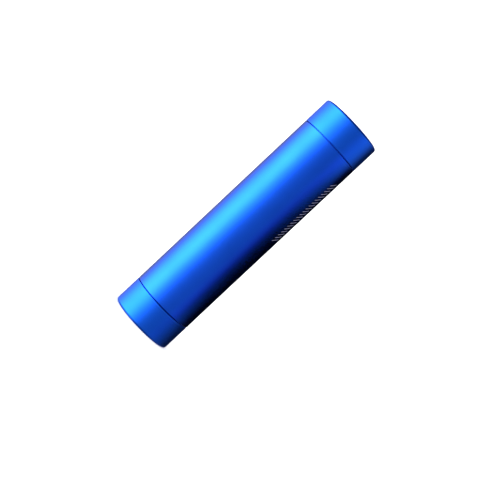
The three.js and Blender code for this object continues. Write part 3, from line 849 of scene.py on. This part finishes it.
def softened(chain, closed):
    """The outline with its corners rounded, as far as the sides next to them allow."""
    fillet, share_of_side, least_bend = 0.08, 0.25, math.radians(20)
    corners = []
    for i, (r, z) in enumerate(chain):
        here = Vector((r, z))
        to_before = Vector(chain[i - 1]) - here
        to_after = Vector(chain[(i + 1) % len(chain)]) - here
        size = min(fillet, share_of_side * to_before.length, share_of_side * to_after.length)
        bends = math.pi - to_before.angle(to_after, math.pi) > least_bend
        corners.append((r, z, size if bends else 0))
    return rounded(corners, closed, steps=3)


def turned_again(node, sides=MEDIUM, centre=(0, 0), lying=False):
    """A fine, round copy of a turned CAD node."""
    chain, closed = profile_of(node, centre, lying)
    obj = turned(f"fine_{node}", softened(chain, closed), closed, sides)
    place_turned(obj, centre, lying)
    stand_for(obj, node)


CELL_PIECES = [
    "cell_can", "cell_bottom_insulator", "electrode_roll", "centre_pin", "cell_top_insulator",
    "vent_disc", "cell_gasket", "cell_positive_cap", "cell_sleeve", "cell_insulator_ring",
]
for node in ["contact_plate", *CELL_PIECES, "cell_pad"]:
    turned_again(node)
turned_again("switch_plunger", FINE, centre=(BUTTON["x"], BUTTON["y"]))

INDUCTOR_Z = (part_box("inductor_core")[0].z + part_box("inductor_core")[1].z) / 2 / MM
turned_again("inductor_core", centre=(0, INDUCTOR_Z), lying=True)


def inductor_winding():
    """Turns of wire side by side, between the two flanges of the core."""
    near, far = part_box("inductor_winding")
    low, high, outer, inner = -far.y / MM, -near.y / MM, far.x / MM, 1.75
    turns, around = 5, 8
    wire_r = (high - low) / turns / 2
    points = [(inner, low), (outer - wire_r, low)]
    for k in range(turns):
        middle = low + wire_r * (2 * k + 1)
        for j in range(1, around):
            a = math.pi * (j / around - 0.5)
            points.append((outer - wire_r + wire_r * math.cos(a), middle + wire_r * math.sin(a)))
        points.append((outer - wire_r, middle + wire_r))
    points.append((inner, high))
    obj = turned("wound_wire", points, closed=True, sides=MEDIUM)
    place_turned(obj, (0, INDUCTOR_Z), lying=True)
    stand_for(obj, "inductor_winding")


inductor_winding()

# ---------------------------------------------------------------- spring, cradle and electronics


def contact_spring():
    """A coil of wire: a flat turn on the plate, a rising cone, and a flat turn at the tip.
    """
    wire_r, per_turn = 0.35, 40
    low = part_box("contact_spring")[0].z / MM + wire_r
    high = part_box("contact_spring")[1].z / MM - wire_r
    stages = [  # turns, first and last radius, first and last height
        (1, 7.4, 6.6, low, low),
        (3, 6.6, 3.4, low, high),
        (0.8, 3.4, 2.6, high, high),
    ]
    path, turned_so_far = [], 0
    for turns, r0, r1, z0, z1 in stages:
        count = round(turns * per_turn)
        for k in range(count):
            share = k / count
            angle = TURN * (turned_so_far + turns * share)
            r, z = r0 + (r1 - r0) * share, z0 + (z1 - z0) * share
            path.append((r * math.cos(angle), r * math.sin(angle), z))
        turned_so_far += turns
    tip_angle = TURN * turned_so_far
    path.append((r1 * math.cos(tip_angle), r1 * math.sin(tip_angle), z1))
    curve = bpy.data.curves.new("spring_wire", "CURVE")
    curve.dimensions = "3D"
    curve.bevel_depth, curve.bevel_resolution = wire_r * MM, 4
    curve.use_fill_caps = True
    spline = curve.splines.new("POLY")
    spline.points.add(len(path) - 1)
    for point, (x, y, z) in zip(spline.points, path):
        point.co = (x * MM, y * MM, z * MM, 1)
    obj = mesh_of(curve)
    paint(obj, SLOT_OF["contact_spring"])
    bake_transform(obj)
    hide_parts("contact_spring")


def board_cradle():
    """A round floor with two rails, each grooved for one edge of the board."""
    low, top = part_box("board_cradle")[0].z / MM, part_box("board_cradle")[1].z / MM
    r, floor_high, rail_x, light_rail_high = 9.3, low + 1.6, 7.8, 82.4
    back, front, fit = -3.3, 2.6, 0.1  # of the rails, and round the board's edges
    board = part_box("circuit_board")
    groove_back, groove_front = board[0].y / MM - fit, board[1].y / MM + fit
    groove_x = board[1].x / MM + fit
    points = rounded(
        [(0, low, 0), (r, low, 0.15), (r, floor_high, 0.15), (0, floor_high, 0)], closed=False
    )
    obj = turned("cradle_floor", points, closed=False, sides=MEDIUM)
    rail_r = r - 0.1
    first, last = math.asin(back / rail_r), math.asin(front / rail_r)
    arc = [first + (last - first) * k / 12 for k in range(13)]
    inner = [
        (rail_x, front), (rail_x, groove_front), (groove_x, groove_front),
        (groove_x, groove_back), (rail_x, groove_back), (rail_x, back),
    ]
    section = [(rail_r * math.cos(a), rail_r * math.sin(a)) for a in arc] + inner
    mirrored = [(-x, y) for x, y in section[::-1]]
    rail_low = floor_high - 0.5
    rails = [
        pulled("rail", [section], rail_low, light_rail_high),
        pulled("rail", [mirrored], rail_low, top),
    ]
    combine(obj, rails, "UNION")
    strip_slot = rectangle(0, groove_front, width=4, height=0.8, fillet=0)
    carve(obj, [pulled("cutter", [strip_slot], low - 1, floor_high + 1)])
    stand_for(bevelled(obj, 0.08, angle=50, segments=2), "board_cradle")


def chip(node):
    """A moulded package with a dot at its first leg, and three bent legs along each short side."""
    low, high = [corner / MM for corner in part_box(node)]
    package = block(f"{node}_package", low, high, 0.12)
    dot_r, dot_deep, inset = 0.3, 0.06, 0.7
    outline = [(0, -1), (dot_r, -1), (dot_r, dot_deep), (0, dot_deep)]
    dot = turned("cutter", outline, closed=False, sides=24)
    place_turned(dot, (low.x + inset, high.z - inset), lying=True)
    dot.data.transform(Matrix.Translation((0, low.y * MM, 0)))
    carve(package, [dot])
    stand_for(package, node)
    middle_x, half_wide, pitch, thickness = (low.x + high.x) / 2, 0.2, 1.2, 0.12
    shoulder_y, foot_y = (low.y + high.y) / 2, high.y
    # Along a leg: how far out of the package, and y.
    leg = [(-0.2, shoulder_y), (0.22, shoulder_y), (0.38, foot_y), (0.75, foot_y)]
    vertices, faces = [], []
    for side, edge_z in ((-1, low.z), (1, high.z)):
        for place in (-1, 0, 1):
            x = middle_x + place * pitch
            faces += bar_faces(len(vertices), len(leg))
            for out, y in leg:
                z = edge_z + side * out
                for dx, dy in ((-1, 0), (1, 0), (1, 1), (-1, 1)):
                    vertices.append((x + dx * half_wide, y - dy * thickness, z))
    legs = new_object(f"{node}_legs", vertices, faces)
    tidy_normals(legs)
    add_to_tube(bevelled(legs, 0.03, segments=2), "nickel")


def capacitor(node):
    """A ceramic block with a tinned cap on each end."""
    low, high = [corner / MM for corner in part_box(node)]
    cap_long, proud = 0.45, 0.03
    inset = Vector((cap_long / 2, proud, proud))
    stand_for(block(f"{node}_ceramic", low + inset, high - inset, 0.06), node)
    for end, x in (("left", low.x), ("right", high.x - cap_long)):
        near, far = (x, low.y, low.z), (x + cap_long, high.y, high.z)
        add_to_tube(block(f"{node}_{end}_cap", near, far, 0.1), "nickel")


contact_spring()
board_cradle()
chip("boost_chip")
chip("charger_chip")
capacitor("input_capacitor")
capacitor("output_capacitor")

# ---------------------------------------------------------------- pieces kept from the CAD model

for obj in frame["nodes"].values():
    if obj.hide_render:
        continue
    for polygon in obj.data.polygons:
        polygon.use_smooth = True
    bevelled(obj, 0.06, angle=35, segments=2)
    weighted = obj.modifiers.new("weighted", "WEIGHTED_NORMAL")
    weighted.keep_sharp = True

# ---------------------------------------------------------------- studio

MIDDLE = LENGTH * MM / 2


def floor():
    """A pale floor that curves up into a wall all round, far from the object."""
    flat_r, wall_r, wall_high, bend = 1.6, 2.6, 2.2, 1.0
    profile = [(flat_r * k / 12, 0) for k in range(13)]
    profile += [
        (flat_r + bend * math.sin(math.radians(a)), bend * (1 - math.cos(math.radians(a))))
        for a in range(6, 91, 6)
    ]
    profile += [(wall_r, wall_high)]
    obj = turned("studio_floor", [(r / MM, z / MM) for r, z in profile], closed=False, sides=96)
    material, nodes, links, shader = new_material("pale_floor")
    shader.inputs["Base Color"].default_value = (0.9, 0.9, 0.9, 1)
    shader.inputs["Roughness"].default_value = 0.9
    # Painted light: the floor glows white, at 0.2 within 3 cm of the middle under the object,
    # rising to 0.5 at 30 cm and beyond.
    shader.inputs["Emission Color"].default_value = (1, 1, 1, 1)
    where = nodes.new("ShaderNodeTexCoord")
    distance = nodes.new("ShaderNodeVectorMath")
    distance.operation = "LENGTH"
    links.new(where.outputs["Object"], distance.inputs[0])
    glow = nodes.new("ShaderNodeMapRange")
    near_edge, far_edge, near_glow, far_glow = 0.03, 0.3, 0.2, 0.5
    glow.inputs["From Min"].default_value = near_edge
    glow.inputs["From Max"].default_value = far_edge
    glow.inputs["To Min"].default_value = near_glow
    glow.inputs["To Max"].default_value = far_glow
    links.new(distance.outputs["Value"], glow.inputs["Value"])
    links.new(glow.outputs["Result"], shader.inputs["Emission Strength"])
    obj.data.materials.append(material)
    obj.visible_glossy = False


TENT_RADIUS = 0.5  # metres, as all lengths of the studio are
# Brightness of the tent by azimuth in degrees: 0 is the camera's side, and 90 is +X.
TENT_STOPS = [
    (-180, 0.1), (-165, 0.2), (-150, 0.4), (-122, 1.3), (-104, 3.3), (-88, 5.6), (-70, 6.9),
    (-54, 6.0), (-44, 4.3), (-32, 2.5), (-18, 1.35), (-6, 0.87), (10, 0.64), (30, 0.52), (52, 0.46),
    (64, 0.3), (74, 0.1), (86, 0.0), (170, 0.0), (180, 0.1),
]
# Dim panels on the right, one high up and one low down, light the two end pieces.
SIDE_PANELS = [
    {"azimuth": 80, "spread": 48, "color": (1.9, 1.9, 1.9), "from": 0.072, "full": 0.105},
    {"azimuth": 76, "spread": 52, "color": (0.62, 0.62, 0.62), "from": -0.095, "full": -0.125},
]
VIOLET = (1.0, 0.32, 1.05)  # tint of the light past the second azimuth, and none before the first
VIOLET_FROM_TO = (40, 72)
BRIGHT_HALF = 0.13  # height above and below the middle where the tent begins to dim
DIM_HALF, DIM_SHARE = 0.35, 0.3  # where it stops dimming, and how much light is left
END_LEVEL = 0.25  # least brightness outside the bright band
ROOF_LEVEL = 0.55  # brightness of the roof's back half
SHADED = 0.12  # share of light left high up on the camera's side, which darkens the rims
SHADE_AZIMUTHS = (95, 130)  # the shade ends between these, on both sides
SHADE_HEIGHTS = (0.17, 0.3)  # and begins between these


def between(value, low, high):
    """How far value has come from low to high, from 0 to 1."""
    return max(0.0, min(1.0, (value - low) / (high - low)))


def tent_color(azimuth, height):
    """The light that one point of the tent gives, as red, green and blue."""
    for (a0, b0), (a1, b1) in zip(TENT_STOPS, TENT_STOPS[1:]):
        if a0 <= azimuth <= a1:
            level = b0 + (b1 - b0) * (azimuth - a0) / (a1 - a0)
            break
    violet = between(azimuth, *VIOLET_FROM_TO)
    color = Vector([level * (1 + (tint - 1) * violet) for tint in VIOLET])
    for panel in SIDE_PANELS:
        off = min(1.0, abs(azimuth - panel["azimuth"]) / panel["spread"])
        share = (1 + math.cos(math.pi * off)) / 2
        color += Vector(panel["color"]) * share * between(height, panel["from"], panel["full"])
    dimmed = between(abs(height), BRIGHT_HALF, DIM_HALF)
    color *= 1 - (1 - DIM_SHARE) * dimmed
    shade = between(height, *SHADE_HEIGHTS) * (1 - between(abs(azimuth), *SHADE_AZIMUTHS))
    left = 1 - (1 - SHADED) * shade
    return [max(channel, END_LEVEL * dimmed) * left for channel in color]


def roof_color(azimuth):
    back = between(abs(azimuth), *SHADE_AZIMUTHS)
    return [ROOF_LEVEL * (SHADED + (1 - SHADED) * back)] * 3


def tent():
    """Soft light round the object and over it, which only reflects in it."""
    low, high, sides = -1.2, 0.6, 144
    more_rows = (-0.8, -0.25, -0.11, -0.05, 0, 0.03, 0.05, 0.08, 0.09)
    heights = [low, -DIM_HALF, -BRIGHT_HALF, BRIGHT_HALF, *SHADE_HEIGHTS, DIM_HALF, high]
    heights += [panel[edge] for panel in SIDE_PANELS for edge in ("from", "full")]
    heights += more_rows
    rings = [(TENT_RADIUS, height) for height in sorted(heights)]
    rings += [(share * TENT_RADIUS, high) for share in (0.8, 0.4, 0)]
    vertices, values, faces = [], [], []
    for radius, height in rings:
        in_wall = radius == TENT_RADIUS
        for k in range(sides + 1):
            azimuth = -180 + 360 * k / sides
            a = math.radians(azimuth)
            x, y = radius * math.sin(a), -radius * math.cos(a)
            vertices.append((x / MM, y / MM, (MIDDLE + height) / MM))
            color = tent_color(azimuth, height) if in_wall else roof_color(azimuth)
            values += [*color, 1]
    for row in range(len(rings) - 1):
        for k in range(sides):
            i = row * (sides + 1) + k
            faces.append((i, i + 1, i + sides + 2, i + sides + 1))
    obj = new_object("light_tent", vertices, faces)
    attribute = obj.data.attributes.new("glow", "FLOAT_COLOR", "POINT")
    attribute.data.foreach_set("color", values)
    material, nodes, links, shader = new_material("light_tent")
    shader.inputs["Base Color"].default_value = (0, 0, 0, 1)
    shader.inputs["Specular IOR Level"].default_value = 0.0
    shader.inputs["Emission Strength"].default_value = 1.0
    glow = nodes.new("ShaderNodeAttribute")
    glow.attribute_name = "glow"
    links.new(glow.outputs["Color"], shader.inputs["Emission Color"])
    obj.data.materials.append(material)
    obj.visible_camera = False
    obj.visible_diffuse = False
    obj.visible_shadow = False


def overhead():
    """A broad soft lamp above the object."""
    data = bpy.data.lights.new("overhead", "AREA")
    data.shape, data.size, data.energy = "DISK", 0.7, 3.0
    lamp = link(bpy.data.objects.new("overhead", data))
    lamp.location = (-0.05, -0.1, 0.9)
    towards = Vector((0, 0, MIDDLE)) - lamp.location
    lamp.rotation_euler = towards.to_track_quat("-Z", "Y").to_euler()
    lamp.visible_glossy = False


def world():
    """White light from all round, and a dim sky in reflections."""
    light_level, reflected_level = 0.8, 0.12
    studio = bpy.data.worlds.new("studio")
    studio.use_nodes = True
    nodes, links = studio.node_tree.nodes, studio.node_tree.links
    background = nodes["Background"]
    background.inputs["Color"].default_value = (1, 1, 1, 1)
    rays = nodes.new("ShaderNodeLightPath")
    strength = nodes.new("ShaderNodeMapRange")
    strength.inputs["To Min"].default_value = light_level
    strength.inputs["To Max"].default_value = reflected_level
    links.new(rays.outputs["Is Glossy Ray"], strength.inputs["Value"])
    links.new(strength.outputs["Result"], background.inputs["Strength"])
    bpy.context.scene.world = studio


floor()
world()
tent()
overhead()

# ---------------------------------------------------------------- camera

ELEVATION = math.radians(1.35)
DISTANCE = 0.362
LENS = 82.2
SENSOR = 36.0
LEAN = math.radians(43.15)  # the axis's slope in the picture
PLACE = (-0.0082, 0.0511)  # where the object's middle falls, in picture widths from the centre


def camera():
    data = bpy.data.cameras.new("camera")
    data.lens = LENS
    data.sensor_width = SENSOR
    data.clip_start, data.clip_end = 0.01, 20
    obj = link(bpy.data.objects.new("camera", data))
    target = Vector((0, 0, MIDDLE))
    back = Vector((0, -math.cos(ELEVATION), math.sin(ELEVATION)))
    level_up = Vector((0, math.sin(ELEVATION), math.cos(ELEVATION)))
    level_right = Vector((1, 0, 0))
    roll = math.pi / 2 - LEAN
    right = level_right * math.cos(roll) + level_up * math.sin(roll)
    up = level_up * math.cos(roll) - level_right * math.sin(roll)
    square = Matrix((right, up, back)).transposed()
    spread = SENSOR / LENS
    seen = Vector((PLACE[0] * spread, PLACE[1] * spread, -1)).normalized()
    turn = seen.rotation_difference(Vector((0, 0, -1))).to_matrix()
    obj.matrix_world = Matrix.Translation(target + back * DISTANCE) @ (square @ turn).to_4x4()
    bpy.context.scene.camera = obj


camera()
bpy.context.scene.view_settings.view_transform = "Standard"
